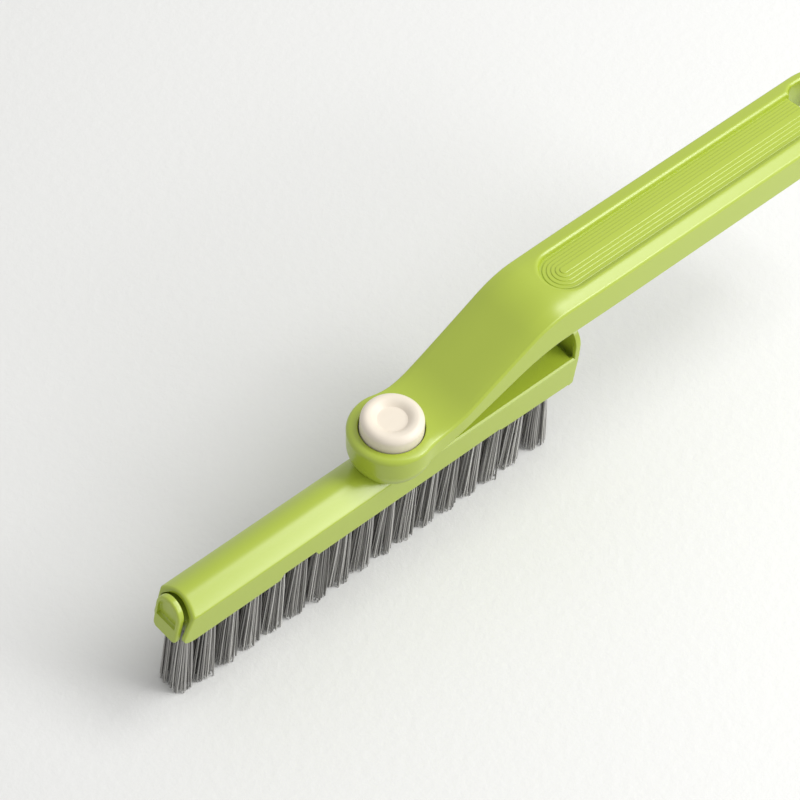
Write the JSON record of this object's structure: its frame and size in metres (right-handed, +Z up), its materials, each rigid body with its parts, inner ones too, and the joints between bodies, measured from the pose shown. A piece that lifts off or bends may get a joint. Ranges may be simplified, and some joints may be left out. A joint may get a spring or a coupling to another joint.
{
  "type": "crevice brush",
  "caption": "Narrow cleaning brush for gaps: a slim head with two rows of tufts on a slide-out carrier and an S-bent handle that turns on it, locked by a push button.",
  "frame": {"origin": "on the floor under the middle of the whole brush, as it stands on its bristle tips", "axes": "+X along the head and handle, towards the handle's hanging hole; +Y across the head; +Z up, away from the bristle tips"},
  "size_m": [0.2856, 0.028, 0.0788],
  "materials": {
    "green_plastic": "satin apple green moulded plastic",
    "cream_plastic": "satin cream moulded plastic",
    "grey_bristle": "stiff grey nylon filament",
    "steel": "plain zinc plated steel"
  },
  "bodies": {
    "head": {"head_housing": "green_plastic", "pivot_screw": "steel", "pivot_washer": "steel"},
    "carrier": {"bristle_carrier": "green_plastic", "tuft_front_01": "grey_bristle", "tuft_front_02": "grey_bristle", "tuft_front_03": "grey_bristle", "tuft_front_04": "grey_bristle", "tuft_front_05": "grey_bristle", "tuft_front_06": "grey_bristle", "tuft_front_07": "grey_bristle", "tuft_front_08": "grey_bristle", "tuft_front_09": "grey_bristle", "tuft_front_10": "grey_bristle", "tuft_front_11": "grey_bristle", "tuft_front_12": "grey_bristle", "tuft_front_13": "grey_bristle", "tuft_front_14": "grey_bristle", "tuft_front_15": "grey_bristle", "tuft_front_16": "grey_bristle", "tuft_front_17": "grey_bristle", "tuft_back_01": "grey_bristle", "tuft_back_02": "grey_bristle", "tuft_back_03": "grey_bristle", "tuft_back_04": "grey_bristle", "tuft_back_05": "grey_bristle", "tuft_back_06": "grey_bristle", "tuft_back_07": "grey_bristle", "tuft_back_08": "grey_bristle", "tuft_back_09": "grey_bristle", "tuft_back_10": "grey_bristle", "tuft_back_11": "grey_bristle", "tuft_back_12": "grey_bristle", "tuft_back_13": "grey_bristle", "tuft_back_14": "grey_bristle", "tuft_back_15": "grey_bristle", "tuft_back_16": "grey_bristle", "tuft_back_17": "grey_bristle"},
    "handle": {"handle": "green_plastic", "button_spring": "steel"},
    "button": {"lock_button": "cream_plastic"}
  },
  "joints": [
    {"name": "handle_swivel", "type": "hinge", "parent": "head", "child": "handle", "pos_m": [-0.05323, 0, 0.0482], "axis": [0, 0, 1], "range_deg": [-90, 90]},
    {"name": "button_press", "type": "slide", "parent": "handle", "child": "button", "axis": [0, 0, -1], "range_m": [0, 0.002], "stiffness_N_per_m": 500, "deforming": ["button_spring"]},
    {"name": "carrier_slide", "type": "slide", "parent": "head", "child": "carrier", "axis": [-1, 0, 0], "range_m": [0, 0.16]}
  ]
}
